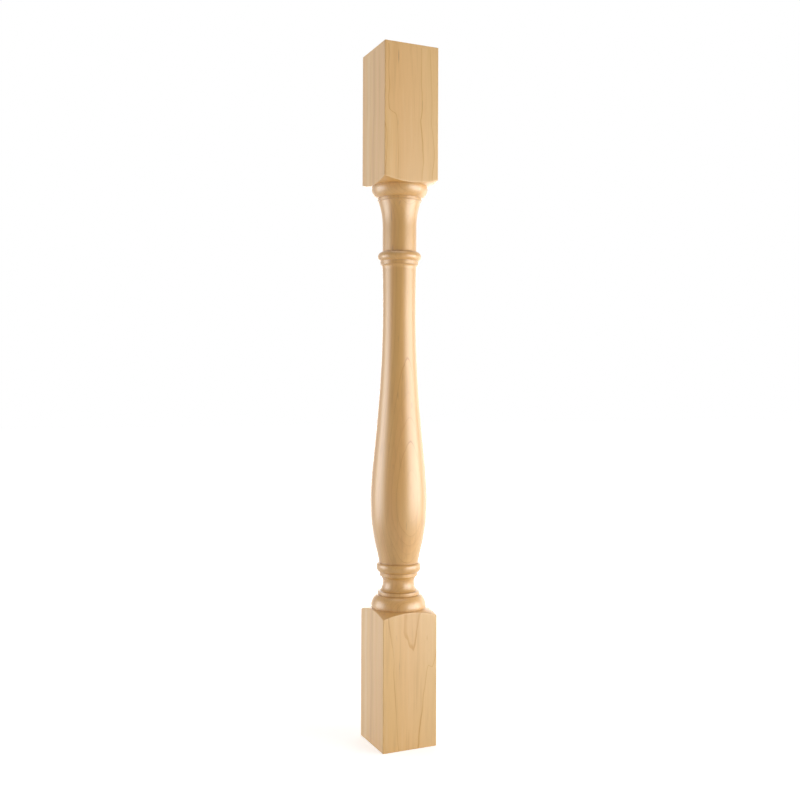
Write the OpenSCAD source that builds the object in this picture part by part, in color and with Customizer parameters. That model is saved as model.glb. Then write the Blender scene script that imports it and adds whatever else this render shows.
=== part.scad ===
// Newel post: the stout turned post that starts, ends or turns a stair rail.
// It is one length of square timber. The middle is turned on a lathe between two
// blocks that stay square: the bottom one stands on the floor or against the
// stair, and the top one takes the handrail.
// Frame: the base centre is the origin, Z runs up the axis, and the four flat
// sides of the blocks face +X, -X, +Y and -Y.
// A cut is how deep the turning goes in below the flat sides of the blocks.

/* [Post] */
// Length of the whole post, end to end
post_height = 1066.8; // [880:0.1:1300]
// Width of the square timber, flat to flat
post_width = 88.9; // [64:0.1:130]
// Flat planed off each of the four long corners
corner_ease = 0.8; // [0.3:0.1:4]

/* [Square blocks] */
// Bottom block, from the floor to where the turning starts
bottom_block = 208.2; // [120:0.1:300]
// Top block, from where the turning stops to the top end
top_block = 209.4; // [120:0.1:300]
// How far the bottom block's sloping shoulder falls to its corners
bottom_shoulder_fall = 9; // [3:0.1:20]
// How far the top block's sloping shoulder rises to its corners
top_shoulder_rise = 7.8; // [3:0.1:20]

/* [Base mouldings, from the bottom block up] */
// Quarter round that stands on the bottom block
base_round_height = 20.4; // [8:0.1:32]
// Cut at the widest place of the quarter round
base_round_cut = 2.1; // [0.6:0.1:6]
// Flat band above the quarter round
base_band_height = 5.3; // [2:0.1:12]
// Cut of that band
base_band_cut = 12.4; // [8:0.1:18]
// Hollow above the band
hollow_height = 23.2; // [10:0.1:36]
// Cut at the bottom of the hollow
hollow_cut = 20.1; // [17:0.1:25]
// Flat band above the hollow
cup_band_height = 5.4; // [2:0.1:12]
// Cut of that band
cup_band_cut = 15.2; // [12:0.1:19]
// Cup-shaped bead that the vase stands in
cup_height = 15.2; // [8:0.1:24]
// Cut at the widest place of the cup
cup_cut = 9.9; // [5:0.1:12]

/* [Vase] */
// Cut at the foot of the vase
vase_foot_cut = 14.1; // [11:0.1:18]
// Cut at the belly of the vase
belly_cut = 0.9; // [0.6:0.1:6]
// Height of the belly above the foot of the vase
belly_height = 96.2; // [50:0.1:160]
// Cut at the slimmest place of the vase
waist_cut = 18.9; // [12:0.1:24]
// How far the slimmest place lies below the collar
waist_drop = 60.6; // [20:0.1:120]

/* [Collar and neck] */
// Small hollow under the collar
collar_hollow_height = 5.5; // [2:0.1:10]
// Flat band of the collar
collar_band_height = 5.2; // [2:0.1:10]
// Cut of that band
collar_band_cut = 14.9; // [11:0.1:17]
// Half-round bead on top of the collar
collar_bead_height = 15; // [6:0.1:24]
// Cut at the widest place of the bead
collar_bead_cut = 10.9; // [5:0.1:14]
// Straight neck between the collar and the capital
neck_height = 39.8; // [15:0.1:80]
// Cut of the neck
neck_cut = 18.3; // [12:0.1:24]

/* [Capital, under the top block] */
// Long hollow flare from the neck up to the band
flare_height = 38.1; // [15:0.1:70]
// Flat band above the flare
capital_band_height = 4.4; // [2:0.1:10]
// Cut of that band
capital_band_cut = 10.6; // [6:0.1:14]
// Quarter round that meets the top block
capital_round_height = 17.9; // [8:0.1:32]
// Cut at the widest place of the quarter round
capital_round_cut = 1.3; // [0.6:0.1:6]

/* [Hidden] */
$fn = 96;

half_width = post_width / 2;
// Distance from the axis to a long corner of the square timber
corner_radius = half_width * sqrt(2);
// Beside the blocks the turning tool swings clear of those corners
clear_radius = corner_radius + 4;

// Radii of the turning
base_round_r = half_width - base_round_cut;
base_band_r = half_width - base_band_cut;
hollow_r = half_width - hollow_cut;
cup_band_r = half_width - cup_band_cut;
cup_r = half_width - cup_cut;
vase_foot_r = half_width - vase_foot_cut;
belly_r = half_width - belly_cut;
waist_r = half_width - waist_cut;
neck_r = half_width - neck_cut;
collar_band_r = half_width - collar_band_cut;
collar_bead_r = half_width - collar_bead_cut;
capital_band_r = half_width - capital_band_cut;
capital_round_r = half_width - capital_round_cut;

// Heights from the bottom block up
base_band_z = bottom_block + base_round_height;
hollow_z = base_band_z + base_band_height;
cup_band_z = hollow_z + hollow_height;
cup_z = cup_band_z + cup_band_height;
vase_z = cup_z + cup_height;

// Heights from the top block down
turning_top_z = post_height - top_block;
capital_round_z = turning_top_z - capital_round_height;
capital_band_z = capital_round_z - capital_band_height;
flare_z = capital_band_z - flare_height;
bead_top_z = flare_z - neck_height;
bead_z = bead_top_z - collar_bead_height;
collar_band_z = bead_z - collar_band_height;
vase_top_z = collar_band_z - collar_hollow_height;

// The vase fills what is left between the cup and the collar
belly_z = vase_z + belly_height;
waist_z = vase_top_z - waist_drop;
swell = belly_z - vase_z;
taper = waist_z - belly_z;

assert(taper > belly_height / 2, "The blocks and mouldings leave no room for the vase.");

// Smooth curve from a to d that leaves a towards b and comes to d from c
function curve(a, b, c, d, steps) = [
    for (i = [0 : steps])
        let (t = i / steps, u = 1 - t)
        u * u * u * a + 3 * u * u * t * b + 3 * u * t * t * c + t * t * t * d
];

// Part of an ellipse about a centre, from one angle to another
function round_part(centre, across, up, from, to, steps) = [
    for (i = [0 : steps])
        let (angle = from + (to - from) * i / steps)
        [centre[0] + across * cos(angle), centre[1] + up * sin(angle)]
];

// The same points in the other order
function reversed(points) = [for (i = [len(points) - 1 : -1 : 0]) points[i]];

// Sloping shoulder from the turning out to a block's corners, by a rise that is
// below nought where the shoulder falls
function shoulder(r, z, rise) = let (run = corner_radius - r) curve(
    [r, z],
    [r + run * 0.3, z + rise * 0.28],
    [r + run * 0.68, z + rise * 0.6],
    [corner_radius + 0.5, z + rise],
    5
);

// The quarter round bulges low down and turns in almost flat to its band
base_bulge_z = bottom_block + base_round_height * 0.12;
base_round = curve(
    [base_round_r, base_bulge_z],
    [base_round_r, base_bulge_z + base_round_height * 0.33],
    [base_round_r - (base_round_r - base_band_r) * 0.42, base_band_z - 1.2],
    [base_band_r - 0.4, base_band_z - 0.1],
    12
);

// The hollow is deepest above its middle
hollow_deep_z = hollow_z + hollow_height * 0.6;
hollow = concat(
    curve(
        [base_band_r - 0.5, hollow_z],
        [hollow_r + 1.6, hollow_z + 0.8],
        [hollow_r, hollow_deep_z - hollow_height * 0.25],
        [hollow_r, hollow_deep_z],
        9
    ),
    curve(
        [hollow_r, hollow_deep_z],
        [hollow_r, hollow_deep_z + hollow_height * 0.2],
        [cup_band_r - 2.4, cup_band_z - 1],
        [cup_band_r - 0.4, cup_band_z],
        7
    )
);

// The cup swells from its band, is widest above its middle, and turns in to the vase
cup_wide_z = cup_z + cup_height * 0.56;
cup_lip_z = vase_z - 0.5;
cup = concat(
    curve(
        [cup_band_r + 0.4, cup_z],
        [cup_band_r + 3, cup_z + 0.8],
        [cup_r, cup_wide_z - cup_height * 0.3],
        [cup_r, cup_wide_z],
        8
    ),
    curve(
        [cup_r, cup_wide_z],
        [cup_r, cup_wide_z + cup_height * 0.28],
        [cup_r - 1.4, cup_lip_z],
        [vase_foot_r + 0.4, cup_lip_z],
        7
    )
);

// The vase swells fast to its belly and tapers slowly to its waist
vase = concat(
    curve(
        [vase_foot_r, vase_z],
        [vase_foot_r + swell * 0.093, vase_z + swell * 0.466],
        [belly_r, belly_z - swell * 0.42],
        [belly_r, belly_z],
        22
    ),
    curve(
        [belly_r, belly_z],
        [belly_r, belly_z + taper * 0.196],
        [waist_r, waist_z - taper * 0.503],
        [waist_r, waist_z],
        36
    ),
    curve(
        [waist_r, waist_z],
        [waist_r, waist_z + waist_drop * 0.5],
        [neck_r - 0.1, vase_top_z - 4],
        [neck_r + 0.1, vase_top_z],
        6
    )
);

collar = concat(
    curve(
        [neck_r + 0.2, vase_top_z],
        [neck_r + 0.5, vase_top_z + collar_hollow_height * 0.6],
        [collar_band_r - 1.6, collar_band_z - 0.6],
        [collar_band_r - 0.4, collar_band_z],
        5
    ),
    [[collar_band_r, collar_band_z], [collar_band_r, bead_z]],
    round_part(
        [neck_r, bead_z + collar_bead_height / 2],
        collar_bead_r - neck_r,
        collar_bead_height / 2,
        -62, 90, 18
    )
);

capital = concat(
    curve(
        [neck_r, flare_z],
        [neck_r + 0.4, flare_z + flare_height * 0.5],
        [neck_r + (capital_band_r - neck_r) * 0.44, flare_z + flare_height * 0.76],
        [capital_band_r - 1.1, capital_band_z],
        12
    ),
    [[capital_band_r, capital_band_z], [capital_band_r, capital_round_z]],
    curve(
        [capital_band_r + 0.4, capital_round_z],
        [capital_band_r + 3.8, capital_round_z + 1.7],
        [capital_round_r, capital_round_z + capital_round_height * 0.42],
        [capital_round_r, capital_round_z + capital_round_height * 0.88],
        12
    )
);

// Half the outline of the turning, from the axis out; beside the blocks it runs
// clear of the timber, so that they stay square
outline = concat(
    [[0, -1], [clear_radius, -1]],
    [[clear_radius, bottom_block - bottom_shoulder_fall - 2]],
    reversed(shoulder(base_round_r - 0.4, bottom_block, -bottom_shoulder_fall)),
    base_round,
    [[base_band_r, base_band_z], [base_band_r, hollow_z]],
    hollow,
    [[cup_band_r, cup_band_z], [cup_band_r, cup_z]],
    cup,
    vase,
    collar,
    capital,
    shoulder(capital_round_r - 0.2, turning_top_z, top_shoulder_rise),
    [[clear_radius, turning_top_z + top_shoulder_rise + 2]],
    [[clear_radius, post_height + 1], [0, post_height + 1]]
);

post();

// The whole post, turned from one length of square timber
module post()
    color("BurlyWood")
    intersection() {
        timber();
        rotate_extrude() polygon(outline);
    }

// Square timber with its four long corners planed off a little
module timber() {
    side = half_width - corner_ease;
    linear_extrude(post_height) polygon([
        [half_width, -side], [half_width, side],
        [side, half_width], [-side, half_width],
        [-half_width, side], [-half_width, -side],
        [-side, -half_width], [side, -half_width]
    ]);
}
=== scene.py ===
"""A newel post in pale close-grained timber, on a white studio floor.

The post is one length of square timber. Both ends stay square blocks, and the
middle is turned to mouldings, a vase, a collar, a neck and a capital. One mesh
carries all of it and stands for the CAD node. Sizes are in metres.
"""

import math

import bpy
import numpy as np
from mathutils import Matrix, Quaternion, Vector


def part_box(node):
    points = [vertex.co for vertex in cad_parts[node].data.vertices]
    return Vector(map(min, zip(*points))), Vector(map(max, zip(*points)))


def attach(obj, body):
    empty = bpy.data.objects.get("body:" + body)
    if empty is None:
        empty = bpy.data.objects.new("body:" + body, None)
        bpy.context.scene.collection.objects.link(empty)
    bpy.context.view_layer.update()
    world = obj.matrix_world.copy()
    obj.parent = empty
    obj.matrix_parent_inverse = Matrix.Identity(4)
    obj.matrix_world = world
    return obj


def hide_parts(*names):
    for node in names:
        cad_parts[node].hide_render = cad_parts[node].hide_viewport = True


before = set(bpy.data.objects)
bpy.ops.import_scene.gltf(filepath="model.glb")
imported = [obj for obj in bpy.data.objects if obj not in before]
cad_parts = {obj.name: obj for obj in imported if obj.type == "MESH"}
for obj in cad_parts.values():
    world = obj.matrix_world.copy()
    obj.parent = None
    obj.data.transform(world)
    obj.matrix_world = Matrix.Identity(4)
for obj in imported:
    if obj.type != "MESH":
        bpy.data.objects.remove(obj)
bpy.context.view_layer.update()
MM = 0.001

# ---------------------------------------------------------------- sizes

low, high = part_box("post")
height = high.z - low.z
half_width = (high.x - low.x) / 2

# Where the turning starts and stops
bottom_block = 208.2 * MM
top_block = 209.4 * MM
bottom_shoulder_fall = 9.0 * MM
top_shoulder_rise = 7.8 * MM

# Heights of the base mouldings, and their cuts below the flat sides of the blocks
base_round_height, base_round_cut = 20.4 * MM, 2.1 * MM
base_band_height, base_band_cut = 5.3 * MM, 12.4 * MM
hollow_height, hollow_cut = 23.2 * MM, 20.1 * MM
cup_band_height, cup_band_cut = 5.4 * MM, 15.2 * MM
cup_height, cup_cut = 15.2 * MM, 9.9 * MM

# The vase
vase_foot_cut = 14.1 * MM
belly_height, belly_cut = 96.2 * MM, 0.9 * MM
waist_drop, waist_cut = 60.6 * MM, 18.9 * MM

# The collar, the neck and the capital
collar_hollow_height = 5.5 * MM
collar_band_height, collar_band_cut = 5.2 * MM, 14.9 * MM
collar_bead_height, collar_bead_cut = 15.0 * MM, 10.9 * MM
neck_height, neck_cut = 39.8 * MM, 18.3 * MM
flare_height = 38.1 * MM
capital_band_height, capital_band_cut = 4.4 * MM, 10.6 * MM
capital_round_height, capital_round_cut = 17.9 * MM, 1.3 * MM

# Depth of the fine groove beside a flat band
groove = 0.4 * MM

# Rounding of the long corners, of the sanded edges and of the sawn ends
corner_round = 0.9 * MM
edge_round = 0.45 * MM
end_round = 0.7 * MM
SHARP_TURN = 24  # degrees: a corner of the outline that turns more than this is sanded round
SHARP_FOLD = 34  # degrees: faces that meet at more than this keep a sharp edge in the shading

# Timber, in millimetres: how far the pith lies behind the front, and the width of a ring
PITH_BEHIND = 190.0
RING_WIDTH = 3.0

# (height in millimetres, millimetres to the right) of the pith as it wanders up the trunk
PITH_DRIFT = [
    (0, 0), (70, -1.5), (110, -1), (150, 5.5), (185, 3), (215, 3), (350, -7),
    (585, -3), (864, -7), (906, -4.5), (970, -11), (1003, -10.2), (1066, -14),
]

# (height in millimetres, rings added) as the trunk tapers and swells
RING_TAPER = [
    (0, 0.76), (60, 0.46), (110, 0.23), (146, 0.08), (178, -0.10), (204, -0.20), (283, -0.40),
    (585, 0.82), (864, -0.45), (906, -0.5), (950, -0.6), (975, -0.78), (1010, -0.68), (1066, -0.65),
]

# Colours of the timber, and what its ring lines and the painted shade on its turned part let through
# of them
PALE = (0.770, 0.465, 0.165, 1.0)
BLOND = (0.785, 0.515, 0.225, 1.0)
WARM = (0.745, 0.405, 0.138, 1.0)
COOL = (0.725, 0.425, 0.114, 1.0)
DEEP = (0.540, 0.280, 0.060, 1.0)
DARK = (0.270, 0.115, 0.025, 1.0)
LINE_TINT = (0.78, 0.60, 0.03, 1.0)
TURNED_PAINTED_SHADE = (0.92, 0.83, 0.55, 1.0)

# Mesh: columns on each side of the square and round each of its corners
side_columns = 36
corner_columns = 6
columns = 4 * (side_columns + corner_columns)


# ---------------------------------------------------------------- outline

def curve(a, b, c, d, steps):
    """Smooth curve from a to d that leaves a towards b and comes to d from c."""
    t = np.linspace(0, 1, steps + 1)[:, None]
    u = 1 - t
    a, b, c, d = (np.array(point, float) for point in (a, b, c, d))
    return u**3 * a + 3 * u * u * t * b + 3 * u * t * t * c + t**3 * d


def round_part(centre, across, up, start, end, steps):
    """Part of an ellipse about a centre, between two angles in degrees."""
    angle = np.radians(np.linspace(start, end, steps + 1))
    return np.stack([centre[0] + across * np.cos(angle), centre[1] + up * np.sin(angle)], 1)


def softened(points, radius):
    """The outline with every sharp corner replaced by a small round one."""
    longest = 0.45  # share of the way to the next point that a round corner may take
    out = [points[0]]
    for before, here, after in zip(points[:-2], points[1:-1], points[2:]):
        back, ahead = before - here, after - here
        back_length, ahead_length = np.linalg.norm(back), np.linalg.norm(ahead)
        straightness = -(back @ ahead) / (back_length * ahead_length)
        turn = np.degrees(np.arccos(np.clip(straightness, -1, 1)))
        if turn < SHARP_TURN:
            out.append(here)
            continue
        first = here + back / back_length * min(radius, back_length * longest)
        last = here + ahead / ahead_length * min(radius, ahead_length * longest)
        for t in (0.0, 0.33, 0.67, 1.0):
            out.append((1 - t) ** 2 * first + 2 * t * (1 - t) * here + t * t * last)
    out.append(points[-1])
    return np.array(out)


base_round_r = half_width - base_round_cut
base_band_r = half_width - base_band_cut
hollow_r = half_width - hollow_cut
cup_band_r = half_width - cup_band_cut
cup_r = half_width - cup_cut
vase_foot_r = half_width - vase_foot_cut
belly_r = half_width - belly_cut
waist_r = half_width - waist_cut
collar_band_r = half_width - collar_band_cut
collar_bead_r = half_width - collar_bead_cut
neck_r = half_width - neck_cut
capital_band_r = half_width - capital_band_cut
capital_round_r = half_width - capital_round_cut

base_band_z = bottom_block + base_round_height
hollow_z = base_band_z + base_band_height
cup_band_z = hollow_z + hollow_height
cup_z = cup_band_z + cup_band_height
vase_z = cup_z + cup_height

turning_top_z = height - top_block
capital_round_z = turning_top_z - capital_round_height
capital_band_z = capital_round_z - capital_band_height
flare_z = capital_band_z - flare_height
bead_top_z = flare_z - neck_height
bead_z = bead_top_z - collar_bead_height
collar_band_z = bead_z - collar_band_height
vase_top_z = collar_band_z - collar_hollow_height
belly_z = vase_z + belly_height
waist_z = vase_top_z - waist_drop


def base_mouldings():
    """Quarter round, band, hollow, band and cup, from the bottom block up."""
    bulge_z = bottom_block + base_round_height * 0.12
    deep_z = hollow_z + hollow_height * 0.6
    wide_z = cup_z + cup_height * 0.56
    lip_z = vase_z - 0.5 * MM
    return [
        [(base_round_r - groove, bottom_block)],
        curve(
            (base_round_r, bulge_z),
            (base_round_r, bulge_z + base_round_height * 0.33),
            (base_round_r - (base_round_r - base_band_r) * 0.42, base_band_z - 1.2 * MM),
            (base_band_r - groove, base_band_z - 0.1 * MM),
            steps=18,
        ),
        [(base_band_r, base_band_z), (base_band_r, hollow_z)],
        curve(
            (base_band_r - 0.5 * MM, hollow_z),
            (hollow_r + 1.6 * MM, hollow_z + 0.8 * MM),
            (hollow_r, deep_z - hollow_height * 0.25),
            (hollow_r, deep_z),
            steps=16,
        ),
        curve(
            (hollow_r, deep_z),
            (hollow_r, deep_z + hollow_height * 0.2),
            (cup_band_r - 2.4 * MM, cup_band_z - 1 * MM),
            (cup_band_r - groove, cup_band_z),
            steps=12,
        )[1:],
        [(cup_band_r, cup_band_z), (cup_band_r, cup_z)],
        curve(
            (cup_band_r + groove, cup_z),
            (cup_band_r + 3 * MM, cup_z + 0.8 * MM),
            (cup_r, wide_z - cup_height * 0.3),
            (cup_r, wide_z),
            steps=12,
        ),
        curve(
            (cup_r, wide_z),
            (cup_r, wide_z + cup_height * 0.28),
            (cup_r - 1.4 * MM, lip_z),
            (vase_foot_r + groove, lip_z),
            steps=10,
        )[1:],
    ]


def vase():
    """The long vase: a fast swell to the belly and a slow taper to the waist."""
    swell = belly_z - vase_z
    taper = waist_z - belly_z
    return [
        curve(
            (vase_foot_r, vase_z),
            (vase_foot_r + swell * 0.093, vase_z + swell * 0.466),
            (belly_r, belly_z - swell * 0.42),
            (belly_r, belly_z),
            steps=36,
        ),
        curve(
            (belly_r, belly_z),
            (belly_r, belly_z + taper * 0.196),
            (waist_r, waist_z - taper * 0.503),
            (waist_r, waist_z),
            steps=70,
        )[1:],
        curve(
            (waist_r, waist_z),
            (waist_r, waist_z + waist_drop * 0.5),
            (neck_r - 0.1 * MM, vase_top_z - 4 * MM),
            (neck_r + 0.1 * MM, vase_top_z),
            steps=12,
        )[1:],
    ]


def collar_and_capital():
    """Collar with its half-round bead, neck, hollow flare, band and quarter round."""
    return [
        curve(
            (neck_r + 0.2 * MM, vase_top_z),
            (neck_r + 0.5 * MM, vase_top_z + collar_hollow_height * 0.6),
            (collar_band_r - 1.6 * MM, collar_band_z - 0.6 * MM),
            (collar_band_r - groove, collar_band_z),
            steps=8,
        ),
        [(collar_band_r, collar_band_z), (collar_band_r, bead_z)],
        round_part(
            (neck_r, bead_z + collar_bead_height / 2),
            collar_bead_r - neck_r,
            collar_bead_height / 2,
            start=-62,
            end=90,
            steps=26,
        ),
        [(neck_r, bead_top_z + neck_height * share) for share in (0.08, 0.35, 0.65, 0.9)],
        curve(
            (neck_r, flare_z),
            (neck_r + 0.4 * MM, flare_z + flare_height * 0.5),
            (neck_r + (capital_band_r - neck_r) * 0.44, flare_z + flare_height * 0.76),
            (capital_band_r - 1.1 * MM, capital_band_z),
            steps=20,
        ),
        [(capital_band_r, capital_band_z), (capital_band_r, capital_round_z)],
        curve(
            (capital_band_r + groove, capital_round_z),
            (capital_band_r + 3.8 * MM, capital_round_z + 1.7 * MM),
            (capital_round_r, capital_round_z + capital_round_height * 0.42),
            (capital_round_r, capital_round_z + capital_round_height * 0.88),
            steps=18,
        ),
        [(capital_round_r - 0.2 * MM, turning_top_z)],
    ]


# ---------------------------------------------------------------- mesh

def square_outline():
    """Points round the square timber, anticlockwise from the middle of the +X side."""
    flat = half_width - corner_round
    crowding = math.pi / 2 * 0.86  # brings the columns closer together towards the corners
    steps = np.linspace(0, 1, side_columns // 2 + 1)
    half_side = np.sin(steps * crowding) / math.sin(crowding)
    rising = [(half_width, flat * share) for share in half_side[:-1]]
    arc = np.radians(np.linspace(0, 90, corner_columns + 1))
    corner = [(flat + corner_round * math.cos(a), flat + corner_round * math.sin(a)) for a in arc]
    falling = [(flat * share, half_width) for share in half_side[-2:0:-1]]
    quarter = np.array(rising + corner + falling)
    sides = []
    for a in np.radians([0, 90, 180, 270]):
        turn = np.array([[math.cos(a), math.sin(a)], [-math.sin(a), math.cos(a)]])
        sides.append(quarter @ turn)
    return np.concatenate(sides)


def shoulder_height(reach, radius, z, rise):
    """Height of a sloping shoulder at each distance from the axis."""
    corner_radius = half_width * math.sqrt(2)
    run = corner_radius - radius
    slope = curve(
        (radius, z),
        (radius + run * 0.3, z + rise * 0.28),
        (radius + run * 0.68, z + rise * 0.6),
        (corner_radius + 0.5 * MM, z + rise),
        steps=40,
    )
    return np.interp(reach, slope[:, 0], slope[:, 1])


square = square_outline()
square_reach = np.hypot(square[:, 0], square[:, 1])
square_angle = np.unwrap(np.arctan2(square[:, 1], square[:, 0]))
even_angle = np.arange(columns) * 2 * math.pi / columns


def ring(reach, angle, z):
    """One row of points round the axis."""
    z = np.broadcast_to(z, angle.shape)
    return np.stack([reach * np.cos(angle), reach * np.sin(angle), z], 1)


def shoulder_rows(radius, z, rise):
    """Rows from the turning out over the shoulder and round its sanded edge."""
    rows = []
    for share in (0.06, 0.16, 0.3, 0.46, 0.62, 0.78, 0.9):
        blend = share * share * (3 - 2 * share)
        angle = even_angle + (square_angle - even_angle) * blend
        edge = np.interp(angle, square_angle, square_reach, period=2 * math.pi)
        reach = radius + (edge - edge_round - radius) * share
        rows.append(ring(reach, angle, shoulder_height(reach, radius, z, rise)))
    way = math.copysign(1, rise)
    edge_z = shoulder_height(square_reach, radius, z, rise)
    inner = square_reach - edge_round
    middle = square_reach - edge_round * 0.3
    rows.append(ring(inner, square_angle, shoulder_height(inner, radius, z, rise)))
    rows.append(ring(middle, square_angle, edge_z + way * edge_round * 0.22))
    rows.append(ring(square_reach, square_angle, edge_z + way * edge_round))
    return rows


def block_rows(edge_row, end_z):
    """Rows along the flat sides of a block, from the shoulder's edge to near the end.

    The first rows run along the curved edge, and they level out within a short way.
    """
    margin = 1.5 * MM
    levelling = 24 * MM
    way = math.copysign(1, end_z - edge_row[0, 2])
    start = edge_row[:, 2] + way * margin
    level = edge_row[:, 2].mean() + way * levelling
    last = end_z - way * (end_round + margin)
    rows = []
    for share in (0.0, 0.2, 0.5, 0.8, 1.0):
        rows.append(ring(square_reach, square_angle, start + (level - start) * share))
    for share in np.linspace(0, 1, 12)[1:]:
        rows.append(ring(square_reach, square_angle, level + (last - level) * share))
    return rows


def end_rows(end_z, way):
    """Rows round the eased edge of a sawn end and in over the end to near its middle."""
    rows = [
        ring(square_reach, square_angle, end_z - way * end_round),
        ring(square_reach - end_round * 0.12, square_angle, end_z - way * end_round * 0.5),
        ring(square_reach - end_round * 0.5, square_angle, end_z - way * end_round * 0.12),
        ring(square_reach - end_round, square_angle, end_z),
    ]
    for share in (0.965, 0.85, 0.7, 0.54, 0.38, 0.22, 0.08):
        rows.append(ring(square_reach * share, square_angle, end_z))
    return rows


def post_rows():
    """Every row of points from the bottom end to the top end."""
    parts = base_mouldings() + vase() + collar_and_capital()
    turned = softened(np.concatenate([np.array(part, float) for part in parts]), edge_round)
    middle = [ring(reach, even_angle, z) for reach, z in turned]
    lower = shoulder_rows(turned[0, 0], turned[0, 1], -bottom_shoulder_fall)
    upper = shoulder_rows(turned[-1, 0], turned[-1, 1], top_shoulder_rise)
    lower += block_rows(lower[-1], 0.0) + end_rows(0.0, -1)
    upper += block_rows(upper[-1], height) + end_rows(height, 1)
    return lower[::-1] + middle + upper


def post_mesh():
    """The whole post as rows of points, closed at both ends by a middle point."""
    rows = post_rows()
    points = np.concatenate(rows + [[[0, 0, 0]], [[0, 0, height]]])
    here = np.arange(columns)
    ahead = (here + 1) % columns
    last_row = (len(rows) - 1) * columns
    bottom_middle = len(rows) * columns
    top_middle = bottom_middle + 1
    faces = []
    for first in range(0, last_row, columns):
        above = first + columns
        faces += np.stack([here + first, ahead + first, ahead + above, here + above], 1).tolist()
    faces += [(bottom_middle, int(b), int(a)) for a, b in zip(here, ahead)]
    faces += [(top_middle, int(a) + last_row, int(b) + last_row) for a, b in zip(here, ahead)]
    return points, faces


def make_post():
    """The post's object, shaded smooth but for its sharp edges."""
    points, faces = post_mesh()
    mesh = bpy.data.meshes.new("post_timber")
    mesh.from_pydata(points.tolist(), [], faces)
    mesh.validate()
    mesh.shade_smooth()
    mesh.set_sharp_from_angle(angle=math.radians(SHARP_FOLD))
    post = bpy.data.objects.new("post_timber", mesh)
    bpy.context.scene.collection.objects.link(post)
    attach(post, "root")
    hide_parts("post")
    return post


# ---------------------------------------------------------------- material

class Graph:
    """Short calls for making shader nodes and joining them."""

    def __init__(self, tree):
        self.tree = tree

    def node(self, kind, inputs=None, **settings):
        made = self.tree.nodes.new(kind)
        for name, value in settings.items():
            setattr(made, name, value)
        for name, value in (inputs or {}).items():
            self.put(made.inputs[name], value)
        return made

    def put(self, socket, value):
        if isinstance(value, bpy.types.NodeSocket):
            self.tree.links.new(value, socket)
        else:
            socket.default_value = value

    def math(self, operation, *values, clamp=False):
        made = self.node("ShaderNodeMath", operation=operation, use_clamp=clamp)
        for socket, value in zip(made.inputs, values):
            self.put(socket, value)
        return made.outputs[0]

    def vector(self, operation, *values):
        made = self.node("ShaderNodeVectorMath", operation=operation)
        for socket, value in zip(made.inputs, values):
            self.put(socket, value)
        return made.outputs[0]

    def noise(self, place, scale, detail=2.0, roughness=0.5):
        """Noise about nought, from about -1 to 1, with its own scale along each axis."""
        stretched = self.vector("MULTIPLY", place, scale)
        inputs = {"Vector": stretched, "Scale": 1.0, "Detail": detail, "Roughness": roughness}
        made = self.node("ShaderNodeTexNoise", inputs)
        return self.math("MULTIPLY_ADD", made.outputs["Fac"], 2.0, -1.0)

    def bands(self, count, scale, detail, start=0.0):
        """Noise that changes only from ring to ring, so that it makes bands."""
        along_rings = self.node("ShaderNodeCombineXYZ", {"X": count, "Y": start}).outputs[0]
        return self.noise(along_rings, (scale, 1.0, 1.0), detail)

    def span(self, value, start, end, low=0.0, high=1.0, smooth=True):
        """value between start and end, mapped to low and high and held there outside."""
        made = self.node(
            "ShaderNodeMapRange",
            {"Value": value, "From Min": start, "From Max": end, "To Min": low, "To Max": high},
            interpolation_type="SMOOTHSTEP" if smooth else "LINEAR",
        )
        return made.outputs["Result"]

    def along(self, z, points, low, high):
        """A smooth curve through (height in millimetres, value) points, read at height z."""
        made = self.node("ShaderNodeFloatCurve")
        drawn = made.mapping.curves[0]
        top = height / MM
        shares = [(at / top, (value - low) / (high - low)) for at, value in points]
        for end, share in zip(drawn.points, (shares[0], shares[-1])):
            end.location = share
        for share in shares[1:-1]:
            drawn.points.new(*share)
        made.mapping.update()
        self.put(made.inputs["Value"], self.math("DIVIDE", z, top))
        return self.math("MULTIPLY_ADD", made.outputs[0], high - low, low)

    def spot(self, place, centre, reach, outside, inside):
        """1 about a centre and 0 far from it; outside and inside are shares of its reach."""
        offset = self.vector("DIVIDE", self.vector("SUBTRACT", place, centre), reach)
        away = self.node("ShaderNodeVectorMath", {0: offset}, operation="LENGTH").outputs["Value"]
        return self.span(away, outside, inside)

    def mix(self, share, first, second, blend="MIX"):
        """Two colours mixed. The numbers are the places of the node's share and colours."""
        sockets = {0: share, 6: first, 7: second}
        made = self.node("ShaderNodeMix", sockets, data_type="RGBA", blend_type=blend)
        return made.outputs[2]

    def toward(self, colour, tone, field, start, end, low=0.0, high=1.0):
        """The colour mixed towards a tone, from low to high as a field goes from start to end."""
        return self.mix(self.span(field, start, end, low, high), colour, tone)


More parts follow.
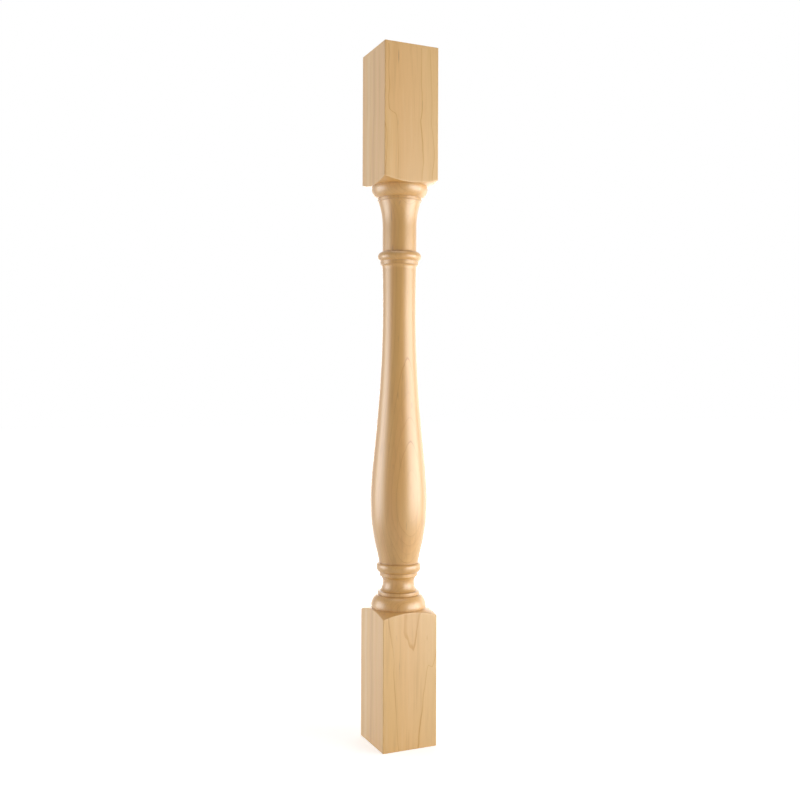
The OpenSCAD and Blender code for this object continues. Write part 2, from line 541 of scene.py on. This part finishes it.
def ring_count(g, x, y, z, place):
    """Growth rings counted outwards at each point, with nought near the front.

    The rings run round a pith that lies behind the post, so they reach the front and
    the back nearly flat and show there as long pointed arches. On the two sides they
    stand on edge and show as straight bands. The pith drifts from side to side, and the
    rings taper along the trunk.
    """
    pith_x = g.along(z, PITH_DRIFT, -16.0, 8.0)
    taper = g.along(z, RING_TAPER, -1.0, 1.0)
    away_x = g.math("SUBTRACT", x, pith_x)
    away_y = g.math("SUBTRACT", y, PITH_BEHIND - half_width / MM)
    square_away = g.math("ADD", g.math("MULTIPLY", away_x, away_x), g.math("MULTIPLY", away_y, away_y))
    outwards = g.math("SUBTRACT", g.math("SQRT", square_away), PITH_BEHIND)

    # The arches come to a point, and at the foot they open out to the left
    fold = g.span(g.math("ABSOLUTE", away_x), 0.0, 9.0, -0.135, 0.0, smooth=False)
    flatter = g.span(away_x, -21.4, -46.4, 0.0, -0.71, smooth=False)
    foot = g.span(z, 300.0, 240.0)
    count = g.math("MULTIPLY_ADD", outwards, 1 / RING_WIDTH, g.math("ADD", taper, fold))
    count = g.math("MULTIPLY_ADD", flatter, foot, count)

    # Slow and quick wandering of the rings
    broad = g.noise(place, (0.016, 0.024, 0.0070), detail=1.5)
    wavy = g.noise(place, (0.050, 0.060, 0.020), detail=2.0)
    count = g.math("MULTIPLY_ADD", broad, 0.34, count)
    count = g.math("MULTIPLY_ADD", wavy, 0.13, count)

    # Two irregular places: rings that sink by the foot's right edge, and a jog near the head
    sunk = g.spot(place, (46.0, -44.0, 165.0), (22.0, 45.0, 59.0), 1.0, 0.8)
    jog = g.math("MULTIPLY", g.span(z, 965.0, 956.0), g.span(x, -16.0, -30.0))
    count = g.math("MULTIPLY_ADD", sunk, -0.50, count)
    return g.math("MULTIPLY_ADD", jog, 0.36, count)


def ring_lines(g, count, place):
    """The dark lines that end the rings, some clear and some faint."""
    strength_period, strength_start = 2.75, 1.08  # rings from clear to clear, and radians
    number = g.math("FLOOR", count)
    part = g.math("FRACT", count)
    turn = g.math("MULTIPLY_ADD", number, 2 * math.pi / strength_period, strength_start)
    strength = g.span(g.math("COSINE", turn), -0.8, 0.45, 0.10, 1.0)
    fade = g.span(g.noise(place, (0.06, 0.06, 0.016), detail=1.0), -0.5, 0.35, 0.45, 1.0)
    line = g.math("MULTIPLY", g.span(part, 0.905, 0.965), g.span(part, 1.0, 0.985))
    return g.math("MULTIPLY", line, g.math("MULTIPLY", strength, fade))


def groove_shade(g, z):
    """1 in the fine groove between each two mouldings, where the colour gets painted shade."""
    found = 0.0
    for level in (bottom_block, base_band_z, hollow_z, cup_z, vase_z, collar_band_z, bead_z,
                  bead_top_z, capital_band_z, capital_round_z, turning_top_z):
        away = g.math("ABSOLUTE", g.math("SUBTRACT", z, level / MM))
        found = g.math("MAXIMUM", found, g.span(away, 0.3, 1.5, 1.0, 0.0))
    return found


def ring_colour(g, x, place, count):
    """The timber's colour before its lines and marks."""
    tint_bands = g.bands(count, 0.20, detail=1.0, start=40.0)
    depth_bands = g.bands(count, 0.12, detail=2.5)
    figure = g.noise(place, (0.13, 0.13, 0.0065), detail=2.5, roughness=0.6)
    paling_wobble = g.noise(place, (0.03, 0.03, 0.004), detail=1.0)
    rightward_paling = g.math("MULTIPLY_ADD", paling_wobble, 16.0, x)  # the timber pales towards its right side
    part = g.math("FRACT", count)

    colour = g.toward(COOL, WARM, tint_bands, -0.25, 0.25)
    colour = g.toward(colour, PALE, depth_bands, -0.25, 0.35, 0.10, 0.75)
    colour = g.toward(colour, BLOND, depth_bands, 0.02, 0.30, 0.0, 0.90)
    colour = g.toward(colour, DEEP, depth_bands, -0.02, -0.30, 0.0, 0.75)
    colour = g.toward(colour, BLOND, rightward_paling, -28.0, 40.0, 0.0, 0.42)
    colour = g.toward(colour, DEEP, part, 0.45, 1.0, 0.0, 0.14)
    colour = g.toward(colour, DEEP, figure, 0.0, 0.45, 0.0, 0.40)
    return g.toward(colour, BLOND, figure, 0.0, -0.45, 0.0, 0.35)


def marked(g, colour, place, z, line, fibres, pores):
    """The colour with fibres, ring lines, small dark marks and painted shade at the joins of the
    mouldings laid over it.
    """
    rays = g.span(g.noise(place, (1.6, 0.25, 0.50), detail=1.0), 0.36, 0.62)
    streaks = g.span(g.noise(place, (0.20, 0.20, 0.022), detail=1.5), 0.40, 0.58)
    fleck = g.spot(place, (-22.0, -44.0, 1045.0), (1.3, 4.0, 15.0), 1.0, 0.2)

    colour = g.toward(colour, DEEP, fibres, -0.6, 0.7, 0.0, 0.24)
    colour = g.mix(g.math("MULTIPLY", line, 0.95), colour, LINE_TINT, "MULTIPLY")
    # The darkening at the joins of the mouldings is painted shade; the other dark marks are the
    # timber's own.
    dark_marks_and_shade = ((pores, 0.12), (rays, 0.09), (streaks, 0.42), (fleck, 0.60), (groove_shade(g, z), 0.28))
    for marks, strength in dark_marks_and_shade:
        colour = g.mix(g.math("MULTIPLY", marks, strength), colour, DARK)
    return colour


def timber_material():
    """Pale close-grained timber: rings about a far pith, cut through by the shape."""
    material = bpy.data.materials.new("timber_pale")
    material.use_nodes = True
    tree = material.node_tree
    tree.nodes.clear()
    g = Graph(tree)

    # Place in the timber, in millimetres
    coordinates = g.node("ShaderNodeTexCoord")
    scaling = {0: coordinates.outputs["Object"], "Scale": 1 / MM}
    place = g.node("ShaderNodeVectorMath", scaling, operation="SCALE").outputs["Vector"]
    x, y, z = g.node("ShaderNodeSeparateXYZ", {"Vector": place}).outputs
    normal = g.node("ShaderNodeSeparateXYZ", {"Vector": coordinates.outputs["Normal"]})
    end_grain = g.span(g.math("ABSOLUTE", normal.outputs["Z"]), 0.5, 1.0)

    count = ring_count(g, x, y, z, place)
    line = ring_lines(g, count, place)
    fibres = g.noise(place, (0.9, 0.9, 0.018), detail=3.0, roughness=0.62)
    pores = g.span(g.noise(place, (1.7, 1.7, 0.12), detail=1.0), 0.36, 0.62)

    # The lathe burnishes what it turns, so there the timber is smoother; its colour there is darkened
    # and deepened as painted shade
    out = g.math("MAXIMUM", g.math("ABSOLUTE", x), g.math("ABSOLUTE", y))
    turned = g.span(out, half_width / MM - 0.2, half_width / MM - 0.6)
    colour = marked(g, ring_colour(g, x, place, count), place, z, line, fibres, pores)
    # Painted shade: the turned part's colour is multiplied darker and deeper.
    colour = g.mix(turned, colour, TURNED_PAINTED_SHADE, "MULTIPLY")
    roughness = g.math("MULTIPLY_ADD", fibres, 0.04, g.math("MULTIPLY_ADD", turned, -0.07, 0.47))
    roughness = g.math("MULTIPLY_ADD", end_grain, 0.16, roughness, clamp=True)

    grain = g.math("MULTIPLY_ADD", pores, -0.5, g.math("MULTIPLY", fibres, 0.35))
    grain = g.math("MULTIPLY_ADD", line, -0.15, grain)
    bump = g.node("ShaderNodeBump", {"Height": grain, "Strength": 0.35, "Distance": 0.06 * MM})

    finish = {
        "Base Color": colour,
        "Roughness": roughness,
        "Normal": bump.outputs["Normal"],
        "IOR": 1.5,
        "Specular IOR Level": 1.0,
        "Coat Weight": 0.7,
        "Coat Roughness": 0.36,
        "Coat IOR": 1.5,
    }
    shader = g.node("ShaderNodeBsdfPrincipled", finish)
    g.node("ShaderNodeOutputMaterial", {"Surface": shader.outputs["BSDF"]})
    return material


# ---------------------------------------------------------------- studio

WHITE = (1.0, 1.0, 1.0, 1.0)
FLOOR_GREY = (0.80, 0.80, 0.80, 1.0)


def seen_directly(g):
    """1 for rays from the camera, a mirror or glass, and 0 for the light itself."""
    path = g.node("ShaderNodeLightPath")
    seen = g.math("ADD", path.outputs["Is Camera Ray"], path.outputs["Is Glossy Ray"])
    return g.math("ADD", seen, path.outputs["Is Transmission Ray"], clamp=True)


def make_world(ambient):
    """A white background that lights the post only as a soft even fill."""
    world = bpy.data.worlds.new("studio")
    bpy.context.scene.world = world
    world.use_nodes = True
    tree = world.node_tree
    tree.nodes.clear()
    g = Graph(tree)
    strength = g.math("MULTIPLY_ADD", seen_directly(g), 1 - ambient, ambient)
    back = g.node("ShaderNodeBackground", {"Color": WHITE, "Strength": strength})
    g.node("ShaderNodeOutputWorld", {"Surface": back.outputs["Background"]})


def make_floor():
    """A wide white floor, lifted to white where it is seen but still holding the shadow."""
    half_size = 12.0
    mesh = bpy.data.meshes.new("studio_floor")
    ways = ((-1, -1), (1, -1), (1, 1), (-1, 1))
    corners = [(half_size * across, half_size * along, 0) for across, along in ways]
    mesh.from_pydata(corners, [], [(0, 1, 2, 3)])
    floor = bpy.data.objects.new("studio_floor", mesh)
    bpy.context.scene.collection.objects.link(floor)

    material = bpy.data.materials.new("floor_white")
    material.use_nodes = True
    tree = material.node_tree
    tree.nodes.clear()
    g = Graph(tree)
    place = g.node("ShaderNodeTexCoord").outputs["Object"]
    away = g.node("ShaderNodeVectorMath", {0: place}, operation="LENGTH").outputs["Value"]
    strength = g.math("MULTIPLY", seen_directly(g), g.span(away, 0.25, 2.5, 0.55, 1.0))
    matt = g.node("ShaderNodeBsdfDiffuse", {"Color": FLOOR_GREY})
    lift = g.node("ShaderNodeEmission", {"Color": WHITE, "Strength": strength})
    both = g.node("ShaderNodeAddShader", {0: matt.outputs["BSDF"], 1: lift.outputs["Emission"]})
    g.node("ShaderNodeOutputMaterial", {"Surface": both.outputs["Shader"]})
    mesh.materials.append(material)


def make_area_light(name, place, size, power):
    """A soft rectangle of white light that faces the middle of the post."""
    lamp = bpy.data.lights.new(name, "AREA")
    lamp.shape = "RECTANGLE"
    lamp.size, lamp.size_y = size
    lamp.energy = power
    box = bpy.data.objects.new(name, lamp)
    bpy.context.scene.collection.objects.link(box)
    box.location = place
    box.rotation_mode = "QUATERNION"
    box.rotation_quaternion = (Vector((0, 0, height / 2)) - box.location).to_track_quat("-Z", "Y")
    box.visible_camera = False


def around(azimuth, distance, level):
    """A place round the post. Azimuth is in degrees from the front towards the right."""
    a = math.radians(azimuth)
    return (math.sin(a) * distance, -math.cos(a) * distance, level)


def make_softbox(name, azimuth, size, power):
    """A soft box beside the post, with its centre a little under half the post's height."""
    distance, level = 1.8, height * 0.46
    make_area_light(name, around(azimuth, distance, level), size, power)


def make_top_light(name, level, size, power):
    """A soft square straight over the post."""
    make_area_light(name, (0, 0, level), (size, size), power)


def make_camera(azimuth):
    """The camera: nearly level, and at about half the post's height."""
    distance, eye_height = 1.512, 0.547
    tilt, roll, aim = 0.14, 0.18, 0.056  # degrees down, about the line of sight, and to the right
    data = bpy.data.cameras.new("camera")
    data.sensor_width = 36.0
    data.lens = 43.85
    data.shift_y = -0.012
    camera = bpy.data.objects.new("camera", data)
    bpy.context.scene.collection.objects.link(camera)
    camera.location = around(azimuth, distance, eye_height)
    heading = math.radians(-azimuth + aim)
    down = math.radians(tilt)
    level_part = math.cos(down)
    ahead = Vector((math.sin(heading) * level_part, math.cos(heading) * level_part, -math.sin(down)))
    leaning = Quaternion((0, 0, 1), math.radians(roll))
    camera.rotation_mode = "QUATERNION"
    camera.rotation_quaternion = ahead.to_track_quat("-Z", "Y") @ leaning
    bpy.context.scene.camera = camera


camera_azimuth = -24.11  # degrees from the front, so the camera stands to the left of it
make_camera(camera_azimuth)
make_world(ambient=0.02)
make_floor()
make_softbox("softbox_right", camera_azimuth + 72, (2.1, 1.0), 35)
make_softbox("softbox_rear_right", camera_azimuth + 134, (0.8, 1.0), 4)
make_softbox("softbox_left", camera_azimuth - 87, (1.4, 1.0), 18)
make_softbox("softbox_back", camera_azimuth + 180, (1.3, 1.0), 16)
make_top_light("softbox_top", 2.4, 1.2, 16)
bpy.context.scene.view_settings.view_transform = "Standard"

post = make_post()
post.data.materials.append(timber_material())
